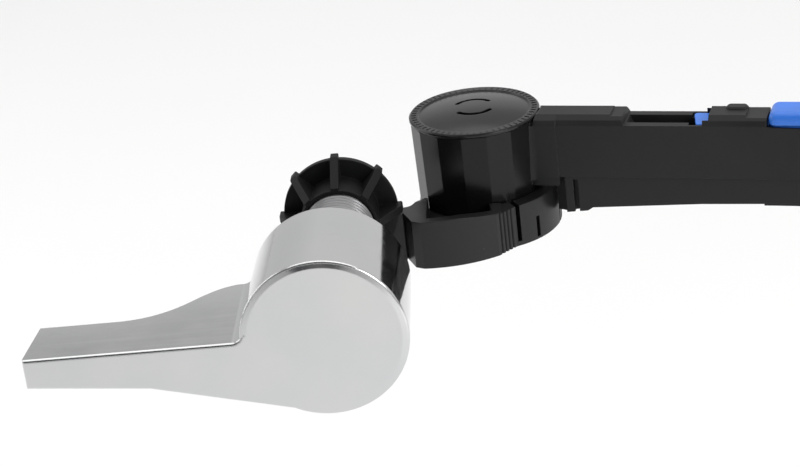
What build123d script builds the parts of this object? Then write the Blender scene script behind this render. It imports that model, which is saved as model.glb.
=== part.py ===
from build123d import *
import math
import os

# Cistern lever, in millimetres.
# The origin is on the spindle axis in the plane where the tank's outer face bears.
# +X runs along the lever arm, +Y goes into the tank and +Z is up.

# Clearances
running_gap = 0.06
sliding_gap = 0.3
seat_gap = 0.1
overcut = 1.0
far = 60.0
pick_margin = 0.01

# Handle
handle_reach = 29.6
handle_front_radius = 18.0
handle_back_radius = 17.45
handle_rim_gap = 0.4
handle_wall = 2.2
handle_edge_round = 0.7
handle_bevel_width = 1.5
handle_bevel_depth = 0.3
handle_front_round = 0.5
handle_boss_radius = 6.6
lever_tip = -64.8
lever_top = 0.7
lever_tip_bottom = -6.1
lever_knee = -38.4
lever_knee_bottom = -8.5
lever_back = -14.3
lever_tip_slant = 1.4
lever_flare_start = -46.4
lever_flare_middle_x = -31.9
lever_flare_middle_y = -8.2
lever_flare_end = -21.0
lever_flare_first_slope = 0.02
lever_flare_last_slope = 0.25
lever_root_round = 2.6
handle_pin_radius = 1.5
handle_pin_place = -15.0
handle_pin_chamfer = 0.3

# Lever travel, limited by a lug of the handle in a notch of the bushing's flange
lever_travel_deg = 30.0
stop_lug_width = 3.2
stop_lug_depth = 2.6
stop_lug_height = 2.6
stop_lug_gap = 0.4
stop_notch_skin = 0.4

# Bushing through the tank wall
flange_clearance = 0.85
flange_radius = handle_back_radius - handle_wall - flange_clearance
flange_thickness = 2.8
collar_side = 16.6
collar_length = 3.4
collar_corner = 2.6
shank_radius = 7.9
shank_end = 38.0
thread_relief = 0.7
thread_runout = 2.0

# Spindle
spindle_radius = 5.4
spindle_square = 7.0
spindle_collar_radius = 7.6
spindle_collar_thickness = 2.4
spindle_front = -24.5
thrust_washer_radius = 7.6
thrust_washer_thickness = 0.8

# Mounting nut
nut_front = 28.1
nut_back = 37.9
nut_tube_radius = 9.2
nut_flange_radius = 13.6
nut_flange_thickness = 1.5
nut_rib_radius = 14.7
nut_rib_count = 8
nut_rib_width = 1.9
nut_rib_foot = 0.5
nut_rib_crown = 1.0
nut_rib_round = 0.4
nut_lead_in = 0.5

# Bracket boss on the spindle
boss_front = 39.0
boss_back = 46.0
boss_radius = 9.8
boss_screw_radius = 2.0
boss_screw_length = 14.0
boss_screw_head_radius = 4.3
boss_screw_head_height = 2.6
boss_washer_radius = 6.4
boss_washer_thickness = 1.2
screw_head_shoulder = 0.85
screw_head_crown = 0.6
screw_head_step = 0.5
screw_tip = 0.8
screw_recess_depth = 1.4
screw_recess_span = 1.5
screw_recess_width = 0.3

# Bracket web and swivel base
hub_x = 33.0
hub_y = 59.4
base_bottom = -15.3
base_floor_top = -8.0
base_radius = 19.3
base_left_radius = 15.4
base_left_end_deg = 205.0
rim_top = -4.9
rim_thickness = 2.2
rim_start_deg = -66.0
rim_end_deg = 100.0
web_top = -3.2
web_slope_start = 28.0
web_corner_top = -4.6
web_left = 16.4
web_front = 33.5
web_front_radius = 29.0
web_corner_x = 36.5
web_corner_y = 37.4
web_corner_margin = 1.2
web_fall_start = 46.0
web_fall_end = 52.5
web_pocket_left = 20.0
web_block_left = -6.0
web_block_foot = 8.4
web_block_rise = 1.6
web_block_inset = 0.5
web_block_lap = 1.0
boss_chamfer = 0.6
web_back_x = 14.2
web_back_y = 43.4
web_back_lap = 1.2
web_chamfer_x = 2.0
web_chamfer_y = 1.2
web_bend_x = 3.2
web_bend_y = 3.6
web_bend_start = (0.42, -0.9)
web_bend_end = (-1.0, -0.05)
drum_pocket_gap = 0.45
base_core_depth = 5.0
base_core_inner_radius = 8.4
base_core_outer_radius = 13.0
base_core_ribs = 6
base_core_rib_width = 1.4
base_core_rib_turn_deg = 30.0
click_depth = 0.5
click_flare = 1.0
click_step_deg = 6.0
click_end_deg = 94.0
corner_grooves = 4
corner_groove_start = 1.2
corner_groove_pitch = 1.25
tab_slot_deg = -63.5
tab_slot_width = 1.1
tab_slot_reach = 1.5
tab_slot_bottom = -14.2
tab_window_deg = -46.5
tab_window_width = 1.1
tab_window_bottom = -14.7
tab_window_top = -9.3
tab_window_depth = 1.3

# Swivel pivot
post_radius = 6.0
pivot_screw_radius = 2.2
pivot_screw_length = 9.0
pivot_head_radius = 4.6
pivot_head_height = 2.6
pivot_washer_radius = 10.4
pivot_washer_thickness = 1.2

# Swivel drum of the arm
arm_rest_deg = -14.5
drum_sides = 16
drum_turn_deg = 2.3
drum_top_radius = 15.8
drum_bottom_radius = 15.35
drum_wall = 3.0
drum_floor = 2.2
cap_top = 14.0
cap_thickness = 1.2
cap_radius = 16.0
cap_skirt_depth = 3.2
cap_skirt_wall = 1.1
cap_rim_width = 2.3
cap_crown = 1.1
cap_groove = 0.3
cap_edge_round = 0.35
cap_slot_radius = 4.8
cap_slot_width = 1.2
cap_slot_span_deg = 103.0
cap_slot_turn_deg = 3.5

# Arm sleeve, along its own length from the hub axis
arm_width = 9.6
arm_top = 14.15
arm_step_start = 34.3
arm_step_depth = 0.3
arm_shoulder = 12.0
arm_chamfer_width = 0.7
arm_chamfer_height = 1.1
arm_crown_half = 2.8
arm_lip = -1.4
arm_lip_step = 0.5
arm_bottom_root = -10.9
arm_bottom_end = -8.2
arm_foot_end = 27.5
arm_foot_rise = 0.5
arm_foot_step = 0.85
arm_foot_step_run = 1.3
arm_bottom_straight = 55.0
arm_bottom_rise = 0.3
arm_collar_start = 70.2
arm_collar_drop = 0.4
arm_end = 125.0
arm_side_wall = 1.4
root_band_end = 21.2
root_band_step = 0.3
root_underside = -2.2
root_ledge = 1.2
root_ledge_flare = 0.4
root_ledge_lap = 0.6
root_round = 3.0
foot_start = 22.3
foot_rib_width = 2.0
foot_groove_width = 1.2
foot_groove_depth = 2.0
nub_gap = 0.5
nub_tip_half = 2.4
nub_root_half = 3.6
channel_start = 27.0
channel_top = 8.0
channel_bottom_wall = 1.4
bay_width = 5.0
bay_top = 12.6
rear_bay_wall = 6.0
rear_bay_floor = 1.4

# Window and bridge on top of the sleeve
window_start = 37.7
window_end = 56.4
window_sill = 12.0
window_bevel = 0.6
window_slot_inset = 0.2
window_ramp = 2.1
window_wall = 1.4
bridge_step_depth = 0.5
bump_start = 61.3
bump_end = 66.5
bump_height = 0.6
bump_front = 0.3
bump_back = 3.3
bump_round = 1.2
bump_chamfer = 0.4

# Latch
latch_pivot = 64.0
latch_pivot_height = 10.3
latch_pin_radius = 1.1
latch_pin_skin = 0.8
latch_travel_deg = 2.0
tongue_start = 53.3
tongue_slant = 1.5
tongue_end = 57.5
tongue_width = 7.4
tongue_top = 12.1
tongue_thickness = 0.6
latch_beam_bottom = 9.2
latch_beam_top = 11.4
tooth_length = 1.6
tooth_slope = 0.5
pad_start = 71.8
pad_end = 90.0
pad_top = 15.1
pad_skirt = 12.3
pad_plug_bottom = 10.0
pad_corner = 1.9
pad_round = 1.8
pad_inset = 0.1
pad_grip_start = 82.0
pad_grip_count = 3
pad_grip_pitch = 2.4
pad_grip_depth = 0.3
pad_grip_radius = 0.5
pad_grip_margin = 1.2
latch_boss_radius = 1.7
tongue_overhang = 0.3
tongue_round = 0.9
tongue_top_round = 0.3
well_gap = 0.35
well_skin = 0.65
well_floor = 8.6
well_floor_setback = 3.0
spring_place = 84.0
spring_radius = 1.45
spring_wire = 0.38
spring_turns = 4
spring_pocket = 1.6
spring_end_gap = 0.02

# Slide arm
slide_start = 49.0
slide_end = 165.0
slide_gap = 0.3
slide_flange = 2.0
slide_web = 2.6
slide_end_wall = 3.0
rack_pitch = 2.5
rack_depth = 1.0
rack_gap_share = 0.5
rack_lean = 0.6
rack_count = 13
rack_margin = 2.0
chain_hole_radius = 1.6
chain_hole_count = 5
chain_hole_pitch = 7.0
chain_hole_margin = 5.0
tip_round = 4.0


def turned_on_y(points):
    """Solid of revolution about the spindle axis from (radius, y) points."""
    return revolve(make_face(Polyline(*points, close=True)), Axis.Y)


def turned_on_z(points):
    """Solid of revolution about the hub axis from (radius, z) points."""
    profile = Plane.XZ * make_face(Polyline(*points, close=True))
    return revolve(profile, Axis.Z)


def facing_y(sketch, y_start, y_end):
    """A sketch drawn in X and Z, made solid from y_start to y_end."""
    plane = Plane(origin=(0, y_start, 0), x_dir=(1, 0, 0), z_dir=(0, -1, 0))
    return extrude(plane * sketch, amount=-(y_end - y_start))


def facing_z(sketch, z_start, z_end):
    """A sketch drawn in X and Y, made solid from z_start to z_end."""
    return extrude(Pos(0, 0, z_start) * sketch, amount=z_end - z_start)


def block(x_range, y_range, z_range):
    """A box between the given limits."""
    size = [high - low for low, high in (x_range, y_range, z_range)]
    centre = [(high + low) / 2 for low, high in (x_range, y_range, z_range)]
    return Pos(*centre) * Box(*size)


def at_hub(shape):
    """Moves a shape from the hub axis at the origin to the hub's place."""
    return Pos(hub_x, hub_y, 0) * shape


def along_arm(shape):
    """Moves a shape from the arm's own frame to the arm's rest place."""
    return Pos(hub_x, hub_y, 0) * Rot(0, 0, arm_rest_deg) * shape


def hub_polar(radius, angle_deg):
    """A point in plan at a radius and angle about the hub axis."""
    angle = math.radians(angle_deg)
    return (hub_x + radius * math.cos(angle), hub_y + radius * math.sin(angle))


def lever_outline(inset):
    """Front view of the lever blade, shrunk by inset, with a round where its top meets the drum."""
    tip = lever_tip + inset
    top = lever_top - inset
    radius = handle_back_radius - inset
    distance = math.hypot(lever_knee, lever_knee_bottom)
    knee_angle = math.atan2(lever_knee_bottom, lever_knee)
    touch_angle = math.degrees(knee_angle + math.acos(handle_back_radius / distance))
    round_radius = lever_root_round + inset
    centre_z = top + round_radius
    centre_x = -math.sqrt((radius + round_radius) ** 2 - centre_z ** 2)
    drum_share = radius / (radius + round_radius)
    round_start = (centre_x, top)
    round_end = (centre_x * drum_share, centre_z * drum_share)
    sides = Polyline(
        round_end,
        (0, 0),
        polar(radius, touch_angle),
        (lever_knee, lever_knee_bottom + inset),
        (tip, lever_tip_bottom + inset),
        (tip, top),
        round_start,
    )
    return make_face(sides + RadiusArc(round_start, round_end, -round_radius))


def lever_plan():
    """Plan view of the lever blade, which flares from the tip to the drum's full depth."""
    front = -handle_reach
    back = -handle_rim_gap
    front_edge = Polyline(
        (0, back),
        (0, front),
        (lever_tip, front),
        (lever_tip + lever_tip_slant, lever_back),
        (lever_flare_start, lever_back),
    )
    flare = Spline(
        (lever_flare_start, lever_back),
        (lever_flare_middle_x, lever_flare_middle_y),
        (lever_flare_end, back),
        tangents=[(1, lever_flare_first_slope), (1, lever_flare_last_slope)],
    )
    rest = Line((lever_flare_end, back), (0, back))
    return make_face(front_edge + flare + rest)


def spindle_collar_front():
    """Where the front face of the spindle's thrust collar lies, in front of the flange."""
    return -flange_thickness - seat_gap - spindle_collar_thickness


def make_handle_shell():
    """Chromed handle: drum, lever blade, spindle boss and stop lug, open at the back."""
    front = -handle_reach
    back = -handle_rim_gap
    bevel_end = front + handle_bevel_depth
    drum = turned_on_y([
        (0, front),
        (handle_front_radius - handle_bevel_width, front),
        (handle_front_radius, bevel_end),
        (handle_back_radius, back),
        (0, back),
    ])
    drum_edge = drum.edges().filter_by_position(Axis.Y, bevel_end - pick_margin, bevel_end + pick_margin)
    drum = fillet(drum_edge, handle_front_round)
    blade = facing_y(lever_outline(0), front, back)
    blade = blade & facing_z(lever_plan(), -handle_front_radius, handle_front_radius)
    blade_edges = blade.edges().filter_by_position(Axis.Y, front - pick_margin, front + pick_margin)
    blade = fillet(blade_edges, handle_edge_round)
    body = drum + blade
    floor = front + handle_wall
    bore_radius = handle_back_radius - handle_wall
    open_end = back + overcut
    hollow = turned_on_y([(0, floor), (bore_radius, floor), (bore_radius, open_end), (0, open_end)])
    hollow = hollow + facing_y(lever_outline(handle_wall), floor, open_end)
    body = body - hollow
    boss_end = spindle_collar_front() - seat_gap
    boss = turned_on_y([
        (0, front + handle_wall / 2),
        (handle_boss_radius, front + handle_wall / 2),
        (handle_boss_radius, boss_end),
        (0, boss_end),
    ])
    socket_side = spindle_square + 2 * running_gap
    socket = facing_y(Rectangle(socket_side, socket_side), spindle_front - seat_gap, boss_end + overcut)
    body = body + boss - socket
    body = body - make_handle_pin_hole()
    lug_y = (back - stop_lug_gap - stop_lug_depth, back - stop_lug_gap)
    lug = block(
        (-stop_lug_width / 2, stop_lug_width / 2),
        lug_y,
        (-bore_radius - handle_wall / 2, -bore_radius + stop_lug_height),
    )
    return body + lug


def make_handle_pin_hole():
    """Cross hole through the boss and the spindle's square for the pin."""
    radius = handle_pin_radius + running_gap / 2
    return Pos(0, handle_pin_place, 0) * Cylinder(radius, 4 * handle_boss_radius)


def make_handle_pin():
    """Cross pin that holds the spindle's square in the handle's boss."""
    pin = Pos(0, handle_pin_place, 0) * Cylinder(handle_pin_radius, 2 * handle_boss_radius)
    return chamfer(pin.edges().filter_by(GeomType.CIRCLE), handle_pin_chamfer)


def make_shank_bushing():
    """Bushing fixed in the tank wall: flange, anti-turn square and threaded shank."""
    flange = turned_on_y([
        (0, -flange_thickness),
        (flange_radius, -flange_thickness),
        (flange_radius, 0),
        (0, 0),
    ])
    square = RectangleRounded(collar_side, collar_side, collar_corner)
    collar = facing_y(square, -flange_thickness / 2, collar_length)
    thread_start = collar_length + thread_runout
    shank = turned_on_y([
        (0, 0),
        (shank_radius - thread_relief, 0),
        (shank_radius - thread_relief, thread_start),
        (shank_radius, thread_start + thread_relief),
        (shank_radius, shank_end - thread_relief),
        (shank_radius - thread_relief, shank_end),
        (0, shank_end),
    ])
    body = flange + collar + shank
    bore_radius = spindle_radius + running_gap
    bore = turned_on_y([
        (0, -flange_thickness - overcut),
        (bore_radius, -flange_thickness - overcut),
        (bore_radius, shank_end + overcut),
        (0, shank_end + overcut),
    ])
    return body - bore - make_stop_notch()


def make_stop_notch():
    """Notch in the flange that the handle's lug runs in over the lever's travel."""
    lug_angle_deg = -90.0
    half_lug = math.degrees(math.asin((stop_lug_width / 2 + sliding_gap) / (flange_radius - stop_lug_height)))
    start = lug_angle_deg - half_lug
    span = lever_travel_deg + 2 * half_lug
    inner = handle_back_radius - handle_wall - stop_lug_height - sliding_gap
    outer = flange_radius + overcut
    sector = make_face(
        CenterArc((0, 0), outer, start, span)
        + Line(polar(outer, start + span), polar(inner, start + span))
        + CenterArc((0, 0), inner, start, span)
        + Line(polar(inner, start), polar(outer, start))
    )
    return facing_y(sector, -flange_thickness - overcut, -stop_notch_skin)


def polar(radius, angle_deg):
    """A point at a radius and angle about the origin."""
    return (radius * math.cos(math.radians(angle_deg)), radius * math.sin(math.radians(angle_deg)))


def make_spindle():
    """Turned spindle with a square at each end and a thrust collar."""
    collar_front = spindle_collar_front()
    collar_back = collar_front + spindle_collar_thickness
    round_end = boss_front - seat_gap
    shaft = turned_on_y([
        (0, collar_front),
        (spindle_collar_radius, collar_front),
        (spindle_collar_radius, collar_back),
        (spindle_radius, collar_back),
        (spindle_radius, round_end),
        (0, round_end),
    ])
    square = Rectangle(spindle_square, spindle_square)
    front_square = facing_y(square, spindle_front, collar_front + overcut)
    back_square = facing_y(square, round_end - overcut, boss_back - seat_gap)
    screw_hole = turned_on_y([
        (0, boss_back - boss_screw_length),
        (boss_screw_radius + running_gap, boss_back - boss_screw_length),
        (boss_screw_radius + running_gap, boss_back + overcut),
        (0, boss_back + overcut),
    ])
    return shaft + front_square + back_square - screw_hole - make_handle_pin_hole()


def make_thrust_washer():
    """Plain washer between the bushing's end and the bracket's boss."""
    start = shank_end + seat_gap
    inner = spindle_radius + running_gap
    return turned_on_y([
        (inner, start),
        (thrust_washer_radius, start),
        (thrust_washer_radius, start + thrust_washer_thickness),
        (inner, start + thrust_washer_thickness),
    ])


def make_mounting_nut():
    """Nut with a tube, a back flange and sloping ribs to grip."""
    bore = shank_radius + running_gap
    flange_front = nut_back - nut_flange_thickness
    body = turned_on_y([
        (bore, nut_front),
        (nut_tube_radius, nut_front),
        (nut_tube_radius, flange_front),
        (nut_flange_radius, flange_front),
        (nut_flange_radius, nut_back),
        (bore, nut_back),
    ])
    inner = (bore + nut_tube_radius) / 2
    rib_profile = make_face(
        Polyline(
            (inner, nut_front),
            (nut_tube_radius + nut_rib_foot, nut_front),
            (nut_rib_radius, flange_front - nut_rib_crown),
            (nut_rib_radius, nut_back),
            (inner, nut_back),
            close=True,
        )
    )
    rib = extrude(rib_profile, amount=nut_rib_width / 2, both=True)
    crown_edges = rib.edges().filter_by(lambda edge: edge.center().X > nut_rib_radius - pick_margin)
    rib = fillet(crown_edges, nut_rib_round)
    for index in range(nut_rib_count):
        body = body + Rot(0, index * 360 / nut_rib_count, 0) * rib
    lead_in = turned_on_y([
        (bore, nut_front),
        (bore + nut_lead_in, nut_front),
        (bore, nut_front + nut_lead_in),
    ])
    return body - lead_in


def base_outline():
    """Plan view of the web and swivel base as one closed face."""
    corner = (web_corner_x, web_corner_y)
    rim_start = hub_polar(base_radius, rim_start_deg)
    rim_end = hub_polar(base_radius, rim_end_deg)
    left_start = hub_polar(base_left_radius, rim_end_deg)
    left_end = hub_polar(base_left_radius, base_left_end_deg)
    front_start = (web_left + web_chamfer_x, web_front)
    left_side = (web_left, web_front + web_chamfer_y)
    back_corner = (web_back_x, web_back_y)
    lap_corner = (web_back_x - web_back_lap, web_back_y)
    edges = [
        Line(lap_corner, left_side),
        Line(left_side, front_start),
        RadiusArc(front_start, corner, -web_front_radius),
        Line(corner, rim_start),
        CenterArc((hub_x, hub_y), base_radius, rim_start_deg, rim_end_deg - rim_start_deg),
        Line(rim_end, left_start),
        CenterArc((hub_x, hub_y), base_left_radius, rim_end_deg, base_left_end_deg - rim_end_deg),
        Spline(
            left_end,
            (web_back_x + web_bend_x, web_back_y + web_bend_y),
            back_corner,
            tangents=[web_bend_start, web_bend_end],
        ),
        Line(back_corner, lap_corner),
    ]
    return make_face(Curve() + edges)


def make_boss():
    """Boss on the spindle with the block that carries the web."""
    boss = turned_on_y([(0, boss_front), (boss_radius, boss_front), (boss_radius, boss_back), (0, boss_back)])
    boss = chamfer(boss.edges().filter_by(GeomType.CIRCLE), boss_chamfer)
    link = make_face(
        Polyline(
            (web_block_left, -boss_radius + web_block_rise),
            (web_block_foot, base_bottom),
            (web_back_x, base_bottom),
            (web_back_x, web_top),
            (0, web_top),
            close=True,
        )
    )
    return boss + facing_y(link, boss_front + web_block_inset, web_back_y + web_block_lap)


def web_hollow():
    """Space behind the web's front wall, open to the drum's room."""
    inner_front = web_front + rim_thickness
    start = (web_pocket_left, inner_front)
    corner = (web_corner_x - rim_thickness / 2, web_corner_y + rim_thickness)
    hollow = make_face(
        Curve()
        + [
            RadiusArc(start, corner, rim_thickness - web_front_radius),
            Line(corner, (hub_x, hub_y)),
            Line((hub_x, hub_y), (web_pocket_left, hub_y)),
            Line((web_pocket_left, hub_y), start),
        ]
    )
    return facing_z(hollow, base_floor_top, far)


def drum_room():
    """Round space that the drum turns in."""
    radius = drum_bottom_radius + drum_pocket_gap
    return at_hub(turned_on_z([
        (0, base_floor_top),
        (radius, base_floor_top),
        (radius, far),
        (0, far),
    ]))


def web_slope():
    """Room above the web's top, which falls towards the front corner of the rim."""
    slope = make_face(
        Polyline(
            (web_slope_start, web_top),
            (web_corner_x + web_corner_margin, web_corner_top),
            (web_corner_x + web_corner_margin, far),
            (web_slope_start, far),
            close=True,
        )
    )
    return facing_y(slope, web_front - overcut, hub_y)


def web_fall():
    """Room above the web's back, which falls to the rim's height beside the drum."""
    fall = Polyline(
        (web_fall_start, web_top),
        (web_fall_end, rim_top),
        (hub_y, rim_top),
        (hub_y, far),
        (web_fall_start, far),
        close=True,
    )
    return along_x(fall, web_block_left, web_pocket_left)


def base_core():
    """Hollow under the base, with ribs left standing."""
    top = base_bottom + base_core_depth
    ring = turned_on_z([
        (base_core_inner_radius, base_bottom - overcut),
        (base_core_outer_radius, base_bottom - overcut),
        (base_core_outer_radius, top),
        (base_core_inner_radius, top),
    ])
    for index in range(base_core_ribs):
        rib = block(
            (0, base_core_outer_radius + overcut),
            (-base_core_rib_width / 2, base_core_rib_width / 2),
            (base_bottom - 2 * overcut, top + overcut),
        )
        ring = ring - Rot(0, 0, base_core_rib_turn_deg + index * 360 / base_core_ribs) * rib
    return at_hub(ring)


def click_grooves():
    """Notches round the rim and on its front corner, which the arm's nub faces."""
    grooves = []
    wedge = Polyline((-click_depth, 0), (overcut, -click_flare), (overcut, click_flare), close=True)
    notch = facing_z(make_face(wedge), base_bottom - overcut, web_top + overcut)
    count = int((click_end_deg - arm_rest_deg) / click_step_deg) + 1
    for index in range(count):
        angle = arm_rest_deg + index * click_step_deg
        grooves.append(at_hub(Rot(0, 0, angle) * Pos(base_radius, 0, 0) * notch))
    start = Vector(*hub_polar(base_radius, rim_start_deg))
    corner = Vector(web_corner_x, web_corner_y)
    direction = (start - corner).normalized()
    slope_deg = math.degrees(math.atan2(direction.Y, direction.X))
    for index in range(corner_grooves):
        place = corner + direction * (corner_groove_start + index * corner_groove_pitch)
        grooves.append(Pos(place.X, place.Y, 0) * Rot(0, 0, slope_deg - 90) * notch)
    return grooves


def tab_cuts():
    """The slot beside the rim's spring tab and the narrow window in it."""
    slot = block(
        (base_radius - rim_thickness - tab_slot_reach, base_radius + overcut),
        (-tab_slot_width / 2, tab_slot_width / 2),
        (tab_slot_bottom, web_top + overcut),
    )
    window = block(
        (base_radius - tab_window_depth, base_radius + overcut),
        (-tab_window_width / 2, tab_window_width / 2),
        (tab_window_bottom, tab_window_top),
    )
    return [
        at_hub(Rot(0, 0, tab_slot_deg) * slot),
        at_hub(Rot(0, 0, tab_window_deg) * window),
    ]


def make_swivel_bracket():
    """Bracket turned by the spindle: boss, web, and base with rim and pivot post."""
    body = facing_z(base_outline(), base_bottom, web_top) + make_boss()
    body = body - web_hollow() - drum_room()
    rim_start = web_corner_x + web_corner_margin
    rim_cut = block((rim_start, hub_x + far), (hub_y - far, hub_y + far), (rim_top, far))
    back_cut = block((web_pocket_left, hub_x + far), (hub_y, hub_y + far), (rim_top, far))
    body = body - rim_cut - back_cut - web_slope() - web_fall() - base_core()
    for groove in click_grooves():
        body = body - groove
    for cut in tab_cuts():
        body = body - cut
    seat = pivot_seat()
    post = turned_on_z([
        (0, base_floor_top - overcut),
        (post_radius, base_floor_top - overcut),
        (post_radius, seat),
        (0, seat),
    ])
    screw_hole = turned_on_z([
        (0, seat - pivot_screw_length),
        (pivot_screw_radius + running_gap, seat - pivot_screw_length),
        (pivot_screw_radius + running_gap, seat + overcut),
        (0, seat + overcut),
    ])
    body = body + at_hub(post) - at_hub(screw_hole)
    socket_side = spindle_square + 2 * running_gap
    socket = facing_y(Rectangle(socket_side, socket_side), boss_front - overcut, boss_back + overcut)
    return body - socket


def make_boss_washer():
    """Washer under the head of the boss screw."""
    inner = boss_screw_radius + running_gap
    return turned_on_y([
        (inner, boss_back),
        (boss_washer_radius, boss_back),
        (boss_washer_radius, boss_back + boss_washer_thickness),
        (inner, boss_back + boss_washer_thickness),
    ])


def cross_recess(radius):
    """Cross slot of a screw head, centred on its top."""
    arm = Box(radius * screw_recess_span, radius * screw_recess_width, screw_recess_depth * 2)
    return arm + Rot(0, 0, 90) * arm


def make_boss_screw():
    """Screw in the spindle's end that holds the bracket on."""
    head_start = boss_back + boss_washer_thickness
    head_end = head_start + boss_screw_head_height
    tip = boss_back - boss_screw_length + seat_gap
    screw = turned_on_y([
        (0, tip),
        (boss_screw_radius, tip + screw_tip),
        (boss_screw_radius, head_start),
        (boss_screw_head_radius, head_start),
        (boss_screw_head_radius * screw_head_shoulder, head_end - screw_head_step),
        (boss_screw_head_radius * screw_head_crown, head_end),
        (0, head_end),
    ])
    recess = Pos(0, head_end, 0) * Rot(90, 0, 0) * cross_recess(boss_screw_head_radius)
    return screw - recess


def pivot_seat():
    """Height of the pivot post's top, where the washer seats."""
    return base_floor_top + 2 * sliding_gap + drum_floor


def make_pivot_washer():
    """Wide washer that keeps the drum on its post."""
    seat = pivot_seat()
    inner = pivot_screw_radius + running_gap
    return at_hub(turned_on_z([
        (inner, seat),
        (pivot_washer_radius, seat),
        (pivot_washer_radius, seat + pivot_washer_thickness),
        (inner, seat + pivot_washer_thickness),
    ]))


def make_pivot_screw():
    """Screw down the hub axis that holds the drum on its post."""
    head_start = pivot_seat() + pivot_washer_thickness
    head_end = head_start + pivot_head_height
    tip = pivot_seat() - pivot_screw_length + seat_gap
    screw = turned_on_z([
        (0, tip),
        (pivot_screw_radius, tip + screw_tip),
        (pivot_screw_radius, head_start),
        (pivot_head_radius, head_start),
        (pivot_head_radius * screw_head_shoulder, head_end - screw_head_step),
        (pivot_head_radius * screw_head_crown, head_end),
        (0, head_end),
    ])
    return at_hub(screw - Pos(0, 0, head_end) * cross_recess(pivot_head_radius))


def sleeve_section(widening, foot):
    """Cross-section of the sleeve in Y and Z down to its foot, chamfered and crowned on top."""
    half = arm_width / 2 + widening
    right = [
        (half, foot),
        (half, arm_shoulder),
        (half - arm_chamfer_width, arm_shoulder + arm_chamfer_height),
        (arm_crown_half, arm_top),
    ]
    left = [(-y, z) for y, z in reversed(right)]
    return Polyline(*right, *left, close=True)


def along_x(points, x_start, x_end):
    """A closed (y, z) outline made solid from x_start to x_end."""
    plane = Plane(origin=(x_start, 0, 0), x_dir=(0, 1, 0), z_dir=(1, 0, 0))
    return extrude(plane * make_face(points), amount=x_end - x_start)


def sleeve_lower_body():
    """Lower part of the sleeve below the lip, with its foot near the drum and its collar."""
    half = arm_width / 2 - arm_lip_step
    outline = Polyline(
        (foot_start, arm_lip + overcut),
        (foot_start, arm_bottom_root),
        (arm_foot_end, arm_bottom_root + arm_foot_rise),
        (arm_foot_end + arm_foot_step_run, arm_bottom_root + arm_foot_rise + arm_foot_step),
        (arm_bottom_straight, arm_bottom_end),
        (arm_collar_start, arm_bottom_end + arm_bottom_rise),
        (arm_collar_start, arm_bottom_end + arm_bottom_rise - arm_collar_drop),
        (arm_end, arm_bottom_end + arm_bottom_rise - arm_collar_drop),
        (arm_end, arm_lip + overcut),
        close=True,
    )
    return facing_y(make_face(outline), -half, half)


def sleeve_root():
    """Band and ledge where the sleeve joins the drum."""
    half = arm_width / 2 + root_band_step
    start = drum_bottom_radius - drum_wall
    band = along_x(sleeve_section(root_band_step, root_underside), start, root_band_end)
    ledge = along_x(
        Polyline(
            (-half - root_ledge_flare, root_underside - root_ledge),
            (-half, root_underside + root_ledge_lap),
            (half, root_underside + root_ledge_lap),
            (half + root_ledge_flare, root_underside - root_ledge),
            close=True,
        ),
        start,
        root_band_end,
    )
    return band + ledge


def root_gusset():
    """Rounds in the corners between the drum and the root band."""
    half = arm_width / 2 + root_band_step
    drum_inner_radius = drum_bottom_radius * math.cos(math.pi / drum_sides)
    band_plan = Pos(root_band_end / 2, 0) * Rectangle(root_band_end, 2 * half)
    plan = Circle(drum_inner_radius) + band_plan
    corners = [plan.vertices().sort_by_distance((drum_inner_radius, side * half, 0))[0] for side in (-1, 1)]
    return facing_z(fillet(corners, root_round), root_underside, arm_shoulder)


def sleeve_hollows():
    """Slide channel, latch bay and latch well inside the sleeve."""
    half = arm_width / 2
    channel = block(
        (channel_start, arm_end + overcut),
        (-half + arm_side_wall, half - arm_side_wall),
        (arm_bottom_end + channel_bottom_wall, channel_top),
    )
    bay_starts = [channel_start, window_start + window_slot_inset + window_ramp]
    bay_ends = [window_start + window_slot_inset - window_wall, well_floor_start()]
    bays = [
        block((start, end), (-bay_width / 2, bay_width / 2), (channel_top - overcut, bay_top))
        for start, end in zip(bay_starts, bay_ends)
    ]
    well = block(
        (pad_start - well_gap, pad_end + well_gap),
        (-half + well_skin, half - well_skin),
        (well_floor, far),
    )
    passage = block(
        (well_floor_start() - overcut, pad_start),
        (-bay_width / 2, bay_width / 2),
        (well_floor, bay_top),
    )
    rear_bay = block(
        (pad_end + rear_bay_wall, arm_end + overcut),
        (-bay_width / 2, bay_width / 2),
        (channel_top + rear_bay_floor, bay_top),
    )
    return [channel, well, passage, rear_bay] + bays


def well_floor_start():
    """Where the floor between the slide channel and the latch well begins."""
    return latch_pivot + well_floor_setback


def well_rim_height(place):
    """Height of the sleeve's walls under the pad, which leaves room for the pad's press."""
    press = (place - latch_pivot) * math.tan(math.radians(latch_travel_deg))
    return pad_skirt - sliding_gap - press


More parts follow.
